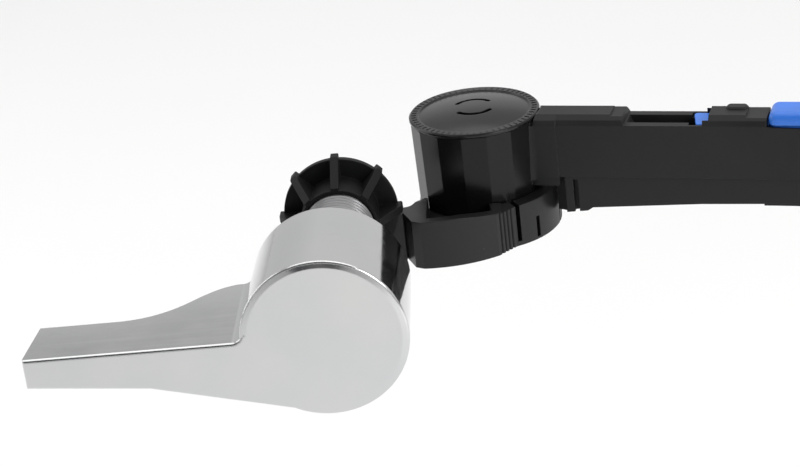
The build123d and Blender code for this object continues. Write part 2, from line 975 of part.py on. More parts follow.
def sleeve_top_cuts():
    """Window with its sills, and the lowered rim round the latch pad."""
    sill = facing_y(
        make_face(
            Polyline(
                (window_start - window_bevel, arm_top + overcut),
                (window_start - window_bevel, arm_top),
                (window_start, window_sill),
                (window_end, window_sill),
                (window_end, arm_top + overcut),
                close=True,
            )
        ),
        -arm_width,
        arm_width,
    )
    slot_start = window_start + window_slot_inset
    slot = facing_y(
        make_face(
            Polyline(
                (slot_start, arm_top + overcut),
                (slot_start, window_sill),
                (slot_start + window_ramp, channel_top - overcut),
                (window_end, channel_top - overcut),
                (window_end, arm_top + overcut),
                close=True,
            )
        ),
        -bay_width / 2,
        bay_width / 2,
    )
    notch_half = tongue_width / 2 + sliding_gap
    notch = block(
        (tongue_start - sliding_gap, tongue_end + sliding_gap),
        (-notch_half, notch_half),
        (tongue_top - tongue_thickness - sliding_gap, arm_top + overcut),
    )
    front_step = block(
        (arm_step_start, window_start),
        (-arm_width, arm_width),
        (arm_top - arm_step_depth, arm_top + overcut),
    )
    bridge_step = block(
        (bump_end, pad_start),
        (-arm_width, arm_width),
        (arm_top - bridge_step_depth, arm_top + overcut),
    )
    rim = facing_y(
        make_face(
            Polyline(
                (pad_start - well_gap, well_rim_height(pad_start - well_gap)),
                (pad_end + well_gap, well_rim_height(pad_end + well_gap)),
                (pad_end + well_gap, far),
                (pad_start - well_gap, far),
                close=True,
            )
        ),
        -arm_width,
        arm_width,
    )
    return [sill, slot, notch, front_step, bridge_step, rim]


def foot_grooves():
    """Grooves down both sides of the foot, which leave its end as a rib on a thinner web."""
    start = foot_start + foot_rib_width
    web_half = arm_width / 2 - foot_groove_depth
    z_range = (arm_bottom_root - overcut, root_underside)
    slot = block((start, start + foot_groove_width), (-arm_width, arm_width), z_range)
    return slot - block((start, start + foot_groove_width), (-web_half, web_half), z_range)


def click_nub():
    """Wedge on the foot's end that faces the notches in the base's rim."""
    tip = base_radius + nub_gap
    root = foot_start + overcut
    plan = make_face(
        Polyline(
            (root, -nub_root_half),
            (tip, -nub_tip_half),
            (tip, nub_tip_half),
            (root, nub_root_half),
            close=True,
        )
    )
    return facing_z(plan, arm_bottom_root, root_underside)


def make_drum():
    """Sixteen-sided tapered drum, solid, about the hub axis."""
    bottom = base_floor_top + sliding_gap
    top = cap_top - cap_thickness
    low = Pos(0, 0, bottom) * Rot(0, 0, drum_turn_deg) * RegularPolygon(drum_bottom_radius, drum_sides)
    high = Pos(0, 0, top) * Rot(0, 0, drum_turn_deg) * RegularPolygon(drum_top_radius, drum_sides)
    return loft([low, high])


def make_arm_sleeve():
    """Drum and arm sleeve in one moulding, with the window, latch well and click nub."""
    upper = along_x(sleeve_section(0, arm_lip), root_band_end - overcut, arm_end)
    body = upper + sleeve_lower_body() + sleeve_root() + root_gusset() + make_drum()
    for hollow in sleeve_hollows():
        body = body - hollow
    for cut in sleeve_top_cuts():
        body = body - cut
    body = body - foot_grooves() + click_nub()
    bottom = base_floor_top + sliding_gap
    bore_radius = drum_bottom_radius - drum_wall
    drum_bore = turned_on_z([
        (0, bottom + drum_floor),
        (bore_radius, bottom + drum_floor),
        (bore_radius, cap_top + overcut),
        (0, cap_top + overcut),
    ])
    post_bore = turned_on_z([
        (0, bottom - overcut),
        (post_radius + running_gap, bottom - overcut),
        (post_radius + running_gap, cap_top),
        (0, cap_top),
    ])
    cap_room = turned_on_z([
        (0, cap_top - cap_thickness),
        (cap_radius + sliding_gap, cap_top - cap_thickness),
        (cap_radius + sliding_gap, cap_top + overcut),
        (0, cap_top + overcut),
    ])
    bump = block(
        (bump_start, bump_end),
        (bump_front, bump_back),
        (arm_shoulder + bump_round, arm_top + bump_height),
    )
    bump = fillet(bump.edges().filter_by(Axis.Z), bump_round)
    bump = chamfer(bump.faces().sort_by(Axis.Z)[-1].edges(), bump_chamfer)
    body = body - drum_bore - post_bore - cap_room + bump
    pin_hole = Pos(latch_pivot, latch_pin_skin, latch_pivot_height) * Rot(90, 0, 0) * Cylinder(
        latch_pin_radius + running_gap / 2, arm_width
    )
    return along_arm(body - pin_hole)


def make_hub_cap():
    """Crowned round cap with a flat rim, two curved slots and a skirt that plugs the drum."""
    underside = cap_top - cap_thickness
    skirt_outer = drum_bottom_radius - drum_wall - 2 * seat_gap
    crown_edge = cap_radius - cap_rim_width
    cap = turned_on_z([
        (0, underside),
        (skirt_outer - cap_skirt_wall, underside),
        (skirt_outer - cap_skirt_wall, underside - cap_skirt_depth),
        (skirt_outer, underside - cap_skirt_depth),
        (skirt_outer, underside),
        (cap_radius - cap_edge_round, underside),
        (cap_radius, underside + cap_edge_round),
        (cap_radius, cap_top - cap_edge_round),
        (cap_radius - cap_edge_round, cap_top),
        (crown_edge, cap_top),
        (crown_edge - cap_groove, cap_top - cap_groove),
        (0, cap_top - cap_groove),
    ])
    crown_rise = cap_crown + cap_groove
    crown_base = crown_edge - cap_groove
    ball_radius = (crown_base**2 + crown_rise**2) / (2 * crown_rise)
    ball = Pos(0, 0, cap_top + cap_crown - ball_radius) * Sphere(ball_radius)
    cap = cap + (ball & facing_z(Circle(crown_base), underside, far))
    for side in (0, 180):
        middle = 90 + side + cap_slot_turn_deg
        arc = CenterArc((0, 0), cap_slot_radius, middle - cap_slot_span_deg / 2, cap_slot_span_deg)
        slot = SlotArc(arc, cap_slot_width)
        cap = cap - facing_z(slot, underside - overcut, far)
    return along_arm(Rot(0, 0, -arm_rest_deg) * cap)


def make_slide_arm():
    """Telescoping arm with an I-shaped section, a rack on top and holes for the chain."""
    half = arm_width / 2 - arm_side_wall - slide_gap
    bottom = arm_bottom_end + channel_bottom_wall + slide_gap
    top = channel_top - slide_gap
    blank = block((slide_start, slide_end), (-half, half), (bottom, top))
    across = blank.edges().filter_by(Axis.Y)
    tip_edges = across.filter_by_position(Axis.X, slide_end - pick_margin, slide_end + pick_margin)
    blank = fillet(tip_edges, tip_round)
    groove_x = (slide_start + slide_end_wall, slide_end - slide_end_wall)
    groove_z = (bottom + slide_flange, top - slide_flange)
    for groove_y in ((-half - overcut, -slide_web / 2), (slide_web / 2, half + overcut)):
        blank = blank - block(groove_x, groove_y, groove_z)
    rack_gap = rack_pitch * rack_gap_share
    for index in range(rack_count):
        start = slide_start + rack_margin + index * rack_pitch
        tooth_gap = facing_y(
            make_face(
                Polyline(
                    (start, top + overcut),
                    (start, top - rack_depth),
                    (start + rack_gap, top - rack_depth),
                    (start + rack_gap + rack_lean, top + overcut),
                    close=True,
                )
            ),
            -half - overcut,
            half + overcut,
        )
        blank = blank - tooth_gap
    for index in range(chain_hole_count):
        place = slide_end - chain_hole_margin - index * chain_hole_pitch
        hole = Pos(place, 0, (bottom + top) / 2) * Rot(90, 0, 0) * Cylinder(chain_hole_radius, 4 * half)
        blank = blank - hole
    return along_arm(blank)


def make_latch_button():
    """Rocker latch: tongue and tooth in the window, beam under the bridge, and thumb pad."""
    beam_half = bay_width / 2 - sliding_gap
    beam_start = tongue_start + tongue_slant + tongue_overhang
    beam = block(
        (beam_start, pad_start + 2 * pad_corner),
        (-beam_half, beam_half),
        (latch_beam_bottom, latch_beam_top),
    )
    tooth_tip = channel_top - slide_gap + sliding_gap
    tooth = facing_y(
        make_face(
            Polyline(
                (beam_start, latch_beam_bottom + overcut),
                (beam_start + tooth_slope, tooth_tip),
                (beam_start + tooth_length, tooth_tip),
                (beam_start + tooth_length + 2 * tooth_slope, latch_beam_bottom + overcut),
                close=True,
            )
        ),
        -beam_half,
        beam_half,
    )
    stem = block(
        (beam_start, tongue_end - tongue_overhang),
        (-beam_half, beam_half),
        (latch_beam_bottom, tongue_top),
    )
    tab_half = tongue_width / 2
    tab_plan = make_face(
        Polyline(
            (tongue_start, tab_half),
            (tongue_start + tongue_slant, -tab_half),
            (tongue_end, -tab_half),
            (tongue_end, tab_half),
            close=True,
        )
    )
    tab = facing_z(fillet(tab_plan.vertices(), tongue_round), tongue_top - tongue_thickness, tongue_top)
    tab = fillet(tab.faces().sort_by(Axis.Z)[-1].edges(), tongue_top_round)
    at_pivot = Pos(latch_pivot, 0, latch_pivot_height) * Rot(90, 0, 0)
    boss = at_pivot * Cylinder(latch_boss_radius, 2 * beam_half)
    pad_width = arm_width - 2 * pad_inset
    pad = block((pad_start, pad_end), (-pad_width / 2, pad_width / 2), (pad_skirt, pad_top))
    pad = fillet(pad.edges().filter_by(Axis.Z), pad_corner)
    pad = fillet(pad.faces().sort_by(Axis.Z)[-1].edges(), pad_round)
    plug_half = arm_width / 2 - well_skin - sliding_gap
    plug = block((pad_start, pad_end), (-plug_half, plug_half), (pad_plug_bottom, pad_skirt + overcut / 2))
    pad = pad + fillet(plug.edges().filter_by(Axis.Z), pad_corner)
    for index in range(pad_grip_count):
        height = pad_top + pad_grip_radius - pad_grip_depth
        groove = Pos(pad_grip_start + index * pad_grip_pitch, 0, height) * Rot(90, 0, 0)
        pad = pad - groove * Cylinder(pad_grip_radius, pad_width - 2 * pad_grip_margin)
    pocket = Pos(spring_place, 0, pad_plug_bottom + spring_pocket / 2) * Cylinder(
        spring_radius + sliding_gap, spring_pocket
    )
    body = beam + tooth + stem + tab + boss + pad - pocket
    pin_hole = at_pivot * Cylinder(latch_pin_radius + running_gap, arm_width)
    return along_arm(body - pin_hole)


def make_latch_pin():
    """Pin that the latch rocks on, pressed in from the sleeve's back."""
    length = arm_width - latch_pin_skin - 2 * seat_gap
    middle = latch_pin_skin / 2
    pin = Pos(latch_pivot, middle, latch_pivot_height) * Rot(90, 0, 0) * Cylinder(latch_pin_radius, length)
    return along_arm(pin)


def make_latch_spring():
    """Small open coil spring that lifts the latch pad."""
    bottom = well_floor + spring_wire / 2 + spring_end_gap
    top = pad_plug_bottom + spring_pocket - spring_wire / 2 - spring_end_gap
    pitch = (top - bottom) / spring_turns
    coil = Helix(pitch=pitch, height=top - bottom, radius=spring_radius - spring_wire / 2)
    start = coil @ 0
    section = Plane(origin=start, z_dir=coil % 0) * Circle(spring_wire / 2)
    spring = sweep(section, path=coil, is_frenet=True)
    return along_arm(Pos(spring_place, 0, bottom) * spring)


makers = {
    "handle_shell": make_handle_shell,
    "handle_pin": make_handle_pin,
    "shank_bushing": make_shank_bushing,
    "spindle": make_spindle,
    "thrust_washer": make_thrust_washer,
    "mounting_nut": make_mounting_nut,
    "swivel_bracket": make_swivel_bracket,
    "boss_washer": make_boss_washer,
    "boss_screw": make_boss_screw,
    "pivot_washer": make_pivot_washer,
    "pivot_screw": make_pivot_screw,
    "arm_sleeve": make_arm_sleeve,
    "hub_cap": make_hub_cap,
    "slide_arm": make_slide_arm,
    "latch_button": make_latch_button,
    "latch_pin": make_latch_pin,
    "latch_spring": make_latch_spring,
}

os.makedirs("parts", exist_ok=True)
for node, maker in makers.items():
    shape = maker()
    export_step(shape, "parts/" + node + ".step")
    print(node, len(shape.solids()), round(shape.volume, 1))
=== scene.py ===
import math

import bmesh
import bpy
from mathutils import Matrix, Vector


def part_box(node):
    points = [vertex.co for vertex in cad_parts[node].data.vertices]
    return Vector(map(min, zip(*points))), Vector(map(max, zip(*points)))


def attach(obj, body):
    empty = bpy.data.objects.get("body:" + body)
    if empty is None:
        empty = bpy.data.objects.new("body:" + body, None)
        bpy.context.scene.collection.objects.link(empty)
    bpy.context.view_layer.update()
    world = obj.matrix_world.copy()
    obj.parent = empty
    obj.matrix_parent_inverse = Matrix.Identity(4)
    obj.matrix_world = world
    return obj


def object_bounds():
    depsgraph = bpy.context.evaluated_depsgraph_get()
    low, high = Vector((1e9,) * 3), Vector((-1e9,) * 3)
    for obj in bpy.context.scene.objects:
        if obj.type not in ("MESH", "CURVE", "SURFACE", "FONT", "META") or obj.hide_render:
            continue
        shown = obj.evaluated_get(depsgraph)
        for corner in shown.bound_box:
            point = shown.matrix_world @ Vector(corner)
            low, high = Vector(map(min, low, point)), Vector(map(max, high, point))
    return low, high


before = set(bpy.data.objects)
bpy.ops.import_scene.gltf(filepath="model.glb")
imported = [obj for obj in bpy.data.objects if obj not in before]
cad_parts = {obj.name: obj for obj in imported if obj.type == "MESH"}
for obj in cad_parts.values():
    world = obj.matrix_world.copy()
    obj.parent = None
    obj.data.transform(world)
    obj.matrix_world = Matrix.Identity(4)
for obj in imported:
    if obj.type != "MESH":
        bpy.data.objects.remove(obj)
cad_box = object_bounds()
mm = 0.001

# Camera, as worked out from the photograph
camera_place = Vector((0.04981, -0.43076, 0.20283))
camera_forward = Vector((-0.0711, 0.9100, -0.4084))
camera_up = Vector((0.0858, 0.4135, 0.9064))
camera_lens = 96.8
camera_sensor = 36.0
camera_near = 0.01
camera_far = 50.0

# Floor
floor_drop = 0.22
floor_half = 4.0
floor_shade = (0.90, 0.90, 0.895)
floor_pale = (0.94, 0.94, 0.94)
floor_cloud_scale = 3.0
floor_cloud_detail = 3.0
floor_cloud_roughness = 0.55
floor_roughness = 0.85

# Room tones, each at the rise above the horizon where it is reached
horizon_tone = 0.78
wall_rise = 0.418
wall_tone = 0.80
cornice_rise = 0.436
cornice_tone = 0.56
cove_rise = 0.452
cove_tone = 0.62
ceiling_rise = 0.60
ceiling_tone = 0.70
overhead_tone = 0.90

# Dimmer left side of the room
left_dim_start = -0.12
left_dim_full = -0.50
left_dim_share = 0.20
black = (0.0, 0.0, 0.0)

# Dark bands of the room on the handle's side, one high and one just under the horizon
band_black = (0.05, 0.05, 0.055)
band_side_start = -0.25
band_side_full = -0.50
high_band_start = 0.22
high_band_full = 0.42
low_band_start = -0.012
low_band_full = -0.030

# Threaded shank
shank_radius = 7.9 * mm
thread_pitch = 1.5 * mm
thread_height = 0.45 * mm
thread_sink = 0.05 * mm
thread_foot_share = 0.84
thread_crest_share = 0.22
thread_start = 6.6 * mm
thread_end = 37.2 * mm
thread_steps = 48
thread_smooth_angle = math.radians(30)
weld_distance = 0.001 * mm

# Cap
cap_tick_count = 60
cap_tick_inner = 14.15 * mm
cap_tick_outer = 15.35 * mm
cap_tick_width = 0.22 * mm
cap_tick_height = 0.12 * mm
cap_crown = 1.1 * mm

# Cloudy patches of gloss and tone
patch_scale = 45.0
patch_detail = 4.0
patch_roughness = 0.6
patch_start = 0.35
patch_full = 0.68

# Rubbed edges
edge_samples = 4
edge_flat_dot = 0.97
edge_sharp_dot = 0.80
rub_start = 0.42
rub_full = 0.66

# Dust
dust_scale = 300.0
dust_choice = 0.86
dust_gain = 1.5
dust_lift = 0.06

# Mouldings
plastic_ior = 1.42
plastic_wave_scale = 70.0
plastic_wave_share = 0.35
plastic_bump = 0.35
plastic_edge_radius = 0.3 * mm
plastic_edge_breakup = 900.0
plastic_patch_tone = 0.72
cap_black = (0.0075, 0.0075, 0.0075)
arm_black = (0.018, 0.018, 0.0182)
bracket_black = (0.011, 0.011, 0.0114)
nut_black = (0.0085, 0.0085, 0.0090)
worn_black = (0.035, 0.035, 0.035)
latch_blue = (0.050, 0.235, 0.90)
worn_blue = (0.16, 0.40, 0.95)

# Polished skin of the drum
drum_skin_inner = 16.3 * mm
drum_skin_outer = 16.7 * mm
drum_black = (0.0055, 0.0055, 0.0055)
drum_roughness = 0.21

# Chrome plate
chrome_dull = (0.575, 0.58, 0.585)
chrome_bright = (0.61, 0.61, 0.605)
chrome_grain_scale = 900.0
chrome_grain_depth = 0.06 * mm
chrome_wave_scale = 35.0
chrome_wave_share = 0.8
chrome_bump = 0.12
chrome_edge_radius = 0.35 * mm
chrome_edge_breakup = 500.0
chrome_rough_low = 0.05
chrome_rough_high = 0.10
wipe_stretch = (40.0, 900.0, 900.0)
wipe_scale = 1.0
wipe_start = 0.45
wipe_full = 0.75
wipe_roughness = 0.05

# Turned and plated metal
alloy_grey = (0.30, 0.30, 0.305)
steel_grey = (0.56, 0.56, 0.55)
wire_grey = (0.45, 0.45, 0.46)
metal_grain_scale = 1800.0
metal_grain_depth = 0.04 * mm
metal_wave_scale = 150.0
metal_wave_share = 0.5
metal_bump = 0.25
metal_edge_radius = 0.2 * mm
metal_edge_breakup = 800.0
metal_dull_share = 0.8
metal_bright_share = 1.2
metal_rough_least = 0.8
metal_rough_most = 1.25
ring_distortion = 0.6
ring_detail = 2.0
ring_bump = 0.2
ring_depth = 0.02 * mm

# Places of the Mix node's sockets, for values and for colours
mix_mask = 0
mix_value_low = 2
mix_value_high = 3
mix_value_result = 0
mix_colour_low = 6
mix_colour_high = 7
mix_colour_result = 2


def feed(tree, socket, value):
    """Links a socket to another node's output, or sets it to a plain value or colour."""
    if isinstance(value, bpy.types.NodeSocket):
        tree.links.new(value, socket)
    elif socket.type == "RGBA":
        socket.default_value = (*value, 1.0)
    else:
        socket.default_value = value


def object_coordinates(tree):
    """The Object coordinates that every pattern here reads."""
    return tree.nodes.new("ShaderNodeTexCoord").outputs["Object"]


def noise(tree, vector, scale, detail=2.0, roughness=0.5):
    """A noise texture on the given coordinates, its value as output."""
    node = tree.nodes.new("ShaderNodeTexNoise")
    feed(tree, node.inputs["Vector"], vector)
    feed(tree, node.inputs["Scale"], scale)
    feed(tree, node.inputs["Detail"], detail)
    feed(tree, node.inputs["Roughness"], roughness)
    return node.outputs["Fac"]


def remap(tree, value, start, full, low=0.0, high=1.0):
    """Maps start to low and full to high, and holds what lies outside them."""
    node = tree.nodes.new("ShaderNodeMapRange")
    feed(tree, node.inputs["Value"], value)
    feed(tree, node.inputs["From Min"], start)
    feed(tree, node.inputs["From Max"], full)
    feed(tree, node.inputs["To Min"], low)
    feed(tree, node.inputs["To Max"], high)
    return node.outputs["Result"]


def calculate(tree, operation, *values):
    """A Math node on links or plain numbers, its result as output."""
    node = tree.nodes.new("ShaderNodeMath")
    node.operation = operation
    for socket, value in zip(node.inputs, values):
        feed(tree, socket, value)
    return node.outputs["Value"]


def calculate_vector(tree, operation, *vectors):
    """A Vector Math node on links or plain vectors, the whole node."""
    node = tree.nodes.new("ShaderNodeVectorMath")
    node.operation = operation
    for socket, vector in zip(node.inputs, vectors):
        feed(tree, socket, vector)
    return node


def blend_value(tree, mask, low, high):
    """Mixes two values by a mask."""
    node = tree.nodes.new("ShaderNodeMix")
    feed(tree, node.inputs[mix_mask], mask)
    feed(tree, node.inputs[mix_value_low], low)
    feed(tree, node.inputs[mix_value_high], high)
    return node.outputs[mix_value_result]


def blend_colour(tree, mask, low, high):
    """Mixes two colours, plain or linked, by a mask."""
    node = tree.nodes.new("ShaderNodeMix")
    node.data_type = "RGBA"
    feed(tree, node.inputs[mix_mask], mask)
    feed(tree, node.inputs[mix_colour_low], low)
    feed(tree, node.inputs[mix_colour_high], high)
    return node.outputs[mix_colour_result]


def bump(tree, height, strength, distance, normal):
    """A bump of the given height on top of another normal."""
    node = tree.nodes.new("ShaderNodeBump")
    feed(tree, node.inputs["Strength"], strength)
    feed(tree, node.inputs["Distance"], distance)
    feed(tree, node.inputs["Height"], height)
    feed(tree, node.inputs["Normal"], normal)
    return node.outputs["Normal"]


def new_group(name, inputs, outputs):
    """A shader node group with the given float inputs, and outputs of the given kinds."""
    tree = bpy.data.node_groups.new(name, "ShaderNodeTree")
    for label in inputs:
        tree.interface.new_socket(label, in_out="INPUT", socket_type="NodeSocketFloat")
    for label, kind in outputs.items():
        tree.interface.new_socket(label, in_out="OUTPUT", socket_type=kind)
    return tree, tree.nodes.new("NodeGroupInput"), tree.nodes.new("NodeGroupOutput")


def place_group(tree, group, values):
    """Puts a node group in a material with its own values."""
    node = tree.nodes.new("ShaderNodeGroup")
    node.node_tree = group
    for label, value in values.items():
        feed(tree, node.inputs[label], value)
    return node


def grain_group():
    """Fine moulded or cast grain with slow waviness, as a height, and cloudy patches as a mask."""
    tree, given, result = new_group(
        "surface_grain",
        ("Grain Scale", "Wave Scale", "Wave Share"),
        {"Height": "NodeSocketFloat", "Patches": "NodeSocketFloat"},
    )
    place = object_coordinates(tree)
    fine = noise(tree, place, given.outputs["Grain Scale"])
    slow = noise(tree, place, given.outputs["Wave Scale"])
    height = blend_value(tree, given.outputs["Wave Share"], fine, slow)
    feed(tree, result.inputs["Height"], height)
    clouds = noise(tree, place, patch_scale, patch_detail, patch_roughness)
    feed(tree, result.inputs["Patches"], remap(tree, clouds, patch_start, patch_full))
    return tree


def wear_group():
    """Where edges are rubbed: the rounded normal against the plain one, broken up by noise."""
    tree, given, result = new_group(
        "edge_wear",
        ("Radius", "Breakup"),
        {"Edges": "NodeSocketFloat", "Soft Normal": "NodeSocketVector"},
    )
    bevel = tree.nodes.new("ShaderNodeBevel")
    bevel.samples = edge_samples
    feed(tree, bevel.inputs["Radius"], given.outputs["Radius"])
    rounded = bevel.outputs["Normal"]
    plain = tree.nodes.new("ShaderNodeNewGeometry").outputs["Normal"]
    agreement = calculate_vector(tree, "DOT_PRODUCT", rounded, plain).outputs["Value"]
    edge = remap(tree, agreement, edge_flat_dot, edge_sharp_dot)
    breakup = noise(tree, object_coordinates(tree), given.outputs["Breakup"])
    broken = remap(tree, breakup, rub_start, rub_full)
    feed(tree, result.inputs["Edges"], calculate(tree, "MULTIPLY", edge, broken))
    feed(tree, result.inputs["Soft Normal"], rounded)
    return tree


def dust_group():
    """Scattered pale specks of dust, as a mask."""
    tree, given, result = new_group(
        "dust_specks",
        ("Scale", "Size"),
        {"Specks": "NodeSocketFloat"},
    )
    cells = tree.nodes.new("ShaderNodeTexVoronoi")
    feed(tree, cells.inputs["Vector"], object_coordinates(tree))
    feed(tree, cells.inputs["Scale"], given.outputs["Scale"])
    near = calculate(tree, "LESS_THAN", cells.outputs["Distance"], given.outputs["Size"])
    lottery = tree.nodes.new("ShaderNodeSeparateColor")
    feed(tree, lottery.inputs["Color"], cells.outputs["Color"])
    chosen = calculate(tree, "GREATER_THAN", lottery.outputs["Red"], dust_choice)
    feed(tree, result.inputs["Specks"], calculate(tree, "MULTIPLY", near, chosen))
    return tree


def new_material(name):
    """A node material with only its Principled shader and output."""
    material = bpy.data.materials.new(name)
    material.use_nodes = True
    nodes = material.node_tree.nodes
    nodes.clear()
    shader = nodes.new("ShaderNodeBsdfPrincipled")
    output = nodes.new("ShaderNodeOutputMaterial")
    feed(material.node_tree, output.inputs["Surface"], shader.outputs["BSDF"])
    return material, shader


def moulded_plastic(
    name,
    colour,
    worn_colour,
    gloss,
    rough_low,
    rough_high,
    grain_scale,
    grain_depth,
    speck_size,
):
    """Moulded plastic: satin grain, cloudy gloss, rubbed edges and a few specks of dust."""
    material, shader = new_material(name)
    tree = material.node_tree
    surface = place_group(
        tree,
        grain,
        {"Grain Scale": grain_scale, "Wave Scale": plastic_wave_scale, "Wave Share": plastic_wave_share},
    )
    edges = place_group(tree, wear, {"Radius": plastic_edge_radius, "Breakup": plastic_edge_breakup})
    dust = place_group(tree, specks, {"Scale": dust_scale, "Size": speck_size})
    patches = surface.outputs["Patches"]
    shade = tuple(channel * plastic_patch_tone for channel in colour)
    mottled = blend_colour(tree, patches, shade, colour)
    rubbed = blend_colour(tree, edges.outputs["Edges"], mottled, worn_colour)
    pale = tuple(min(1.0, channel * dust_gain + dust_lift) for channel in colour)
    dusty = blend_colour(tree, dust.outputs["Specks"], rubbed, pale)
    feed(tree, shader.inputs["Base Color"], dusty)
    feed(tree, shader.inputs["Roughness"], remap(tree, patches, 0.0, 1.0, rough_low, rough_high))
    height = surface.outputs["Height"]
    soft_normal = edges.outputs["Soft Normal"]
    feed(tree, shader.inputs["Normal"], bump(tree, height, plastic_bump, grain_depth, soft_normal))
    shader.inputs["IOR"].default_value = plastic_ior
    shader.inputs["Specular IOR Level"].default_value = gloss
    return material


def near_axis(tree, centre, inner, outer):
    """A mask that is 1 inside the inner distance from an upright axis and 0 past the outer one."""
    offset = calculate_vector(tree, "SUBTRACT", object_coordinates(tree), centre).outputs["Vector"]
    flat = calculate_vector(tree, "MULTIPLY", offset, (1.0, 1.0, 0.0)).outputs["Vector"]
    distance = calculate_vector(tree, "LENGTH", flat).outputs["Value"]
    return remap(tree, distance, inner, outer, 1.0, 0.0)


def polish_drum(material, centre):
    """Gives the drum a darker, glossier skin than the arm that it is moulded with."""
    tree = material.node_tree
    shader = next(node for node in tree.nodes if node.type == "BSDF_PRINCIPLED")
    on_drum = near_axis(tree, centre, drum_skin_inner, drum_skin_outer)
    arm_colour = shader.inputs["Base Color"].links[0].from_socket
    arm_roughness = shader.inputs["Roughness"].links[0].from_socket
    feed(tree, shader.inputs["Base Color"], blend_colour(tree, on_drum, arm_colour, drum_black))
    feed(tree, shader.inputs["Roughness"], blend_value(tree, on_drum, arm_roughness, drum_roughness))


def chrome_plate():
    """Polished chrome over a casting: near-mirror with faint waviness and fine wipe marks."""
    material, shader = new_material("chrome_plate")
    tree = material.node_tree
    surface = place_group(
        tree,
        grain,
        {"Grain Scale": chrome_grain_scale, "Wave Scale": chrome_wave_scale, "Wave Share": chrome_wave_share},
    )
    edges = place_group(tree, wear, {"Radius": chrome_edge_radius, "Breakup": chrome_edge_breakup})
    patches = surface.outputs["Patches"]
    stretched = tree.nodes.new("ShaderNodeMapping")
    stretched.inputs["Scale"].default_value = wipe_stretch
    feed(tree, stretched.inputs["Vector"], object_coordinates(tree))
    wipes = noise(tree, stretched.outputs["Vector"], wipe_scale)
    smears = remap(tree, wipes, wipe_start, wipe_full)
    feed(tree, shader.inputs["Base Color"], blend_colour(tree, patches, chrome_dull, chrome_bright))
    shader.inputs["Metallic"].default_value = 1.0
    cloudy = remap(tree, patches, 0.0, 1.0, chrome_rough_low, chrome_rough_high)
    roughness = calculate(tree, "MULTIPLY_ADD", smears, wipe_roughness, cloudy)
    feed(tree, shader.inputs["Roughness"], roughness)
    height = surface.outputs["Height"]
    soft_normal = edges.outputs["Soft Normal"]
    feed(tree, shader.inputs["Normal"], bump(tree, height, chrome_bump, chrome_grain_depth, soft_normal))
    return material


def turned_metal(name, colour, roughness, ring_scale, direction):
    """Turned or plated metal with fine tool rings across the given axis."""
    material, shader = new_material(name)
    tree = material.node_tree
    rings = tree.nodes.new("ShaderNodeTexWave")
    rings.wave_type = "BANDS"
    rings.bands_direction = direction
    rings.inputs["Scale"].default_value = ring_scale
    rings.inputs["Distortion"].default_value = ring_distortion
    rings.inputs["Detail"].default_value = ring_detail
    feed(tree, rings.inputs["Vector"], object_coordinates(tree))
    surface = place_group(
        tree,
        grain,
        {"Grain Scale": metal_grain_scale, "Wave Scale": metal_wave_scale, "Wave Share": metal_wave_share},
    )
    edges = place_group(tree, wear, {"Radius": metal_edge_radius, "Breakup": metal_edge_breakup})
    patches = surface.outputs["Patches"]
    dull = tuple(channel * metal_dull_share for channel in colour)
    stained = blend_colour(tree, patches, dull, colour)
    bright = tuple(min(1.0, channel * metal_bright_share) for channel in colour)
    feed(tree, shader.inputs["Base Color"], blend_colour(tree, edges.outputs["Edges"], stained, bright))
    shader.inputs["Metallic"].default_value = 1.0
    smoothest = roughness * metal_rough_least
    roughest = roughness * metal_rough_most
    feed(tree, shader.inputs["Roughness"], remap(tree, patches, 0.0, 1.0, smoothest, roughest))
    height = surface.outputs["Height"]
    soft_normal = edges.outputs["Soft Normal"]
    grained = bump(tree, height, metal_bump, metal_grain_depth, soft_normal)
    ringed = bump(tree, rings.outputs["Fac"], ring_bump, ring_depth, grained)
    feed(tree, shader.inputs["Normal"], ringed)
    return material


def finished(shape, name, material, smooth_angle=None):
    """Writes a bmesh into a new object with one material."""
    mesh = bpy.data.meshes.new(name)
    if smooth_angle is not None:
        bmesh.ops.recalc_face_normals(shape, faces=shape.faces)
        for face in shape.faces:
            face.smooth = True
        for edge in shape.edges:
            sharp = edge.is_manifold and edge.calc_face_angle() > smooth_angle
            edge.smooth = not sharp
    shape.to_mesh(mesh)
    shape.free()
    mesh.materials.append(material)
    piece = bpy.data.objects.new(name, mesh)
    bpy.context.scene.collection.objects.link(piece)
    return piece


def thread_ridge(material):
    """The helical ridge of the shank's thread, spun round the spindle axis."""
    shape = bmesh.new()
    foot = shank_radius - thread_sink
    crest = foot + thread_height
    half_foot = thread_pitch * thread_foot_share / 2
    half_crest = half_foot * thread_crest_share
    profile = (
        (foot, thread_start - half_foot),
        (crest, thread_start - half_crest),
        (crest, thread_start + half_crest),
        (foot, thread_start + half_foot),
    )
    corners = [shape.verts.new((radius, along, 0.0)) for radius, along in profile]
    section = shape.faces.new(corners)
    turns = (thread_end - thread_start) / thread_pitch
    steps = int(turns * thread_steps)
    bmesh.ops.spin(
        shape,
        geom=[section, *section.edges, *section.verts],
        cent=(0.0, 0.0, 0.0),
        axis=(0.0, 1.0, 0.0),
        dvec=(0.0, (thread_end - thread_start) / steps, 0.0),
        angle=turns * math.tau,
        steps=steps,
        use_duplicate=False,
    )
    bmesh.ops.remove_doubles(shape, verts=shape.verts, dist=weld_distance)
    return finished(shape, "shank_thread", material, thread_smooth_angle)


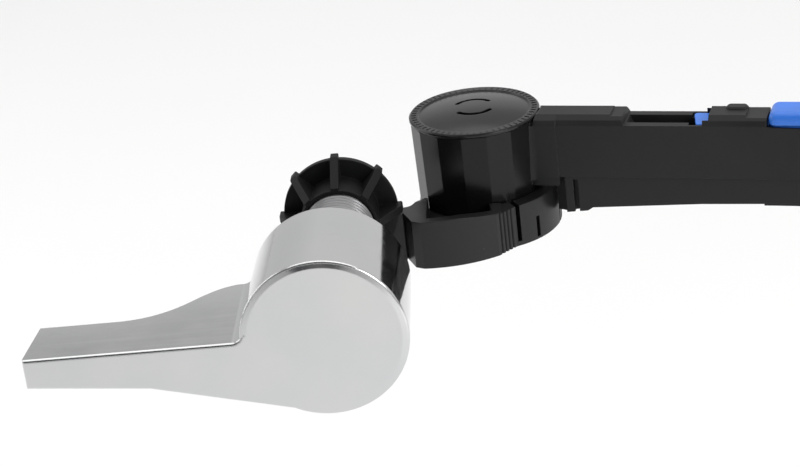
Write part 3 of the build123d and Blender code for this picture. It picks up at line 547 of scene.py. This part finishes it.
def cap_ticks(material, centre, rim_height):
    """Plain raised ticks round the cap's rim, with their lower half sunk in it."""
    shape = bmesh.new()
    length = cap_tick_outer - cap_tick_inner
    middle = (cap_tick_inner + cap_tick_outer) / 2
    size = Matrix.Diagonal((length, cap_tick_width, cap_tick_height * 2, 1.0))
    out = Matrix.Translation((middle, 0.0, 0.0))
    place = Matrix.Translation((centre.x, centre.y, rim_height))
    for index in range(cap_tick_count):
        turn = Matrix.Rotation(math.tau * index / cap_tick_count, 4, "Z")
        made = bmesh.ops.create_cube(shape, size=1.0)["verts"]
        bmesh.ops.transform(shape, matrix=place @ turn @ out @ size, verts=made)
    return finished(shape, "cap_ticks", material)


def dress_nodes(materials):
    """Gives each CAD node the material of its finish."""
    finishes = {
        "chrome": ["handle_shell"],
        "alloy": ["shank_bushing"],
        "steel": [
            "handle_pin",
            "spindle",
            "boss_washer",
            "boss_screw",
            "pivot_washer",
            "pivot_screw",
            "latch_pin",
        ],
        "wire": ["latch_spring"],
        "cap": ["hub_cap"],
        "arm": ["arm_sleeve", "slide_arm", "thrust_washer"],
        "bracket": ["swivel_bracket"],
        "nut": ["mounting_nut"],
        "latch": ["latch_button"],
    }
    for finish, names in finishes.items():
        for name in names:
            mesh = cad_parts[name].data
            mesh.materials.clear()
            mesh.materials.append(materials[finish])


def studio_floor():
    """Plain pale floor, well below the lever, which is held at its shank."""
    material, shader = new_material("studio_floor")
    tree = material.node_tree
    clouds = noise(
        tree,
        object_coordinates(tree),
        floor_cloud_scale,
        floor_cloud_detail,
        floor_cloud_roughness,
    )
    feed(tree, shader.inputs["Base Color"], blend_colour(tree, clouds, floor_shade, floor_pale))
    shader.inputs["Roughness"].default_value = floor_roughness
    lowest_corner = cad_box[0]
    floor_height = lowest_corner[2] - floor_drop
    shape = bmesh.new()
    bmesh.ops.create_grid(shape, x_segments=1, y_segments=1, size=floor_half)
    bmesh.ops.translate(shape, verts=shape.verts, vec=(0.0, 0.0, floor_height))
    finished(shape, "studio_floor", material)


def room_tone(tree, rise):
    """The room's grey at a rise above the horizon, with a sharp drop over the pale wall."""
    height = tree.nodes.new("ShaderNodeValToRGB")
    ramp = height.color_ramp
    below, overhead = ramp.elements
    below.color = (horizon_tone, horizon_tone, horizon_tone, 1.0)
    overhead.color = (overhead_tone, overhead_tone, overhead_tone, 1.0)
    between = (
        (wall_rise, wall_tone),
        (cornice_rise, cornice_tone),
        (cove_rise, cove_tone),
        (ceiling_rise, ceiling_tone),
    )
    for place, tone in between:
        ramp.elements.new(place).color = (tone, tone, tone, 1.0)
    feed(tree, height.inputs["Fac"], rise)
    return height.outputs["Color"]


def studio_world():
    """Pale room with two dark bands on the handle's side, which draw the chrome's front edges."""
    world = bpy.data.worlds.new("studio")
    bpy.context.scene.world = world
    world.use_nodes = True
    tree = world.node_tree
    tree.nodes.clear()
    output = tree.nodes.new("ShaderNodeOutputWorld")
    background = tree.nodes.new("ShaderNodeBackground")
    direction = tree.nodes.new("ShaderNodeSeparateXYZ")
    feed(tree, direction.inputs["Vector"], tree.nodes.new("ShaderNodeTexCoord").outputs["Generated"])
    across = direction.outputs["X"]
    inward = direction.outputs["Y"]
    rise = direction.outputs["Z"]
    left = remap(tree, across, left_dim_start, left_dim_full, 0.0, left_dim_share)
    dimmed = blend_colour(tree, left, room_tone(tree, rise), black)
    handle_side = remap(tree, inward, band_side_start, band_side_full)
    high_band = remap(tree, rise, high_band_start, high_band_full)
    low_band = remap(tree, rise, low_band_start, low_band_full)
    bands = calculate(tree, "ADD", high_band, low_band)
    dark = calculate(tree, "MULTIPLY", handle_side, bands)
    feed(tree, background.inputs["Color"], blend_colour(tree, dark, dimmed, band_black))
    feed(tree, output.inputs["Surface"], background.outputs["Background"])


def area_light(name, place, aim, width, height, power):
    """A soft rectangular light aimed at a point."""
    data = bpy.data.lights.new(name, "AREA")
    data.shape = "RECTANGLE"
    data.size = width
    data.size_y = height
    data.energy = power
    light = bpy.data.objects.new(name, data)
    light.location = place
    light.rotation_euler = (Vector(aim) - Vector(place)).to_track_quat("-Z", "Y").to_euler()
    bpy.context.scene.collection.objects.link(light)


def studio_lights():
    """A large soft light overhead and a small fill on each side."""
    area_light(
        "overhead",
        place=(0.05, 0.7, 1.8),
        aim=(0.03, 0.5, 0.0),
        width=2.4,
        height=2.4,
        power=19.0,
    )
    area_light(
        "left_fill",
        place=(-0.9, 0.35, 0.35),
        aim=(0.0, 0.0, 0.0),
        width=0.6,
        height=0.9,
        power=2.5,
    )
    area_light(
        "right_fill",
        place=(0.8, -0.7, 0.5),
        aim=(0.5, -0.4, -0.2),
        width=0.6,
        height=0.6,
        power=7.0,
    )


def studio_camera():
    """The camera at the photograph's place, angle and lens."""
    data = bpy.data.cameras.new("camera")
    data.lens = camera_lens
    data.sensor_width = camera_sensor
    data.clip_start = camera_near
    data.clip_end = camera_far
    camera = bpy.data.objects.new("camera", data)
    back = -camera_forward.normalized()
    right = camera_up.cross(back).normalized()
    up = back.cross(right)
    turn = Matrix((right, up, back)).transposed().to_4x4()
    camera.matrix_world = Matrix.Translation(camera_place) @ turn
    bpy.context.scene.collection.objects.link(camera)
    bpy.context.scene.camera = camera


grain = grain_group()
wear = wear_group()
specks = dust_group()
materials = {
    "chrome": chrome_plate(),
    "alloy": turned_metal("turned_alloy", alloy_grey, roughness=0.30, ring_scale=1400.0, direction="Y"),
    "steel": turned_metal("plated_steel", steel_grey, roughness=0.30, ring_scale=1100.0, direction="Z"),
    "wire": turned_metal("spring_wire", wire_grey, roughness=0.25, ring_scale=1600.0, direction="Z"),
    "cap": moulded_plastic(
        "hub_plastic",
        cap_black,
        worn_black,
        gloss=0.45,
        rough_low=0.15,
        rough_high=0.24,
        grain_scale=2600.0,
        grain_depth=0.03 * mm,
        speck_size=0.05,
    ),
    "arm": moulded_plastic(
        "arm_plastic",
        arm_black,
        worn_black,
        gloss=0.32,
        rough_low=0.46,
        rough_high=0.60,
        grain_scale=2300.0,
        grain_depth=0.03 * mm,
        speck_size=0.06,
    ),
    "bracket": moulded_plastic(
        "bracket_plastic",
        bracket_black,
        worn_black,
        gloss=0.45,
        rough_low=0.34,
        rough_high=0.48,
        grain_scale=2300.0,
        grain_depth=0.03 * mm,
        speck_size=0.05,
    ),
    "nut": moulded_plastic(
        "nut_plastic",
        nut_black,
        worn_black,
        gloss=0.22,
        rough_low=0.42,
        rough_high=0.56,
        grain_scale=2300.0,
        grain_depth=0.03 * mm,
        speck_size=0.05,
    ),
    "latch": moulded_plastic(
        "blue_plastic",
        latch_blue,
        worn_blue,
        gloss=0.5,
        rough_low=0.30,
        rough_high=0.40,
        grain_scale=2300.0,
        grain_depth=0.02 * mm,
        speck_size=0.04,
    ),
}
dress_nodes(materials)

cap_low, cap_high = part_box("hub_cap")
cap_centre = (cap_low + cap_high) / 2
polish_drum(materials["arm"], cap_centre)
ticks = cap_ticks(materials["cap"], cap_centre, cap_high.z - cap_crown)
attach(ticks, "arm")

ridge = thread_ridge(materials["alloy"])
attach(ridge, "bushing")

bpy.context.scene.view_settings.view_transform = "Standard"
studio_floor()
studio_world()
studio_camera()
studio_lights()
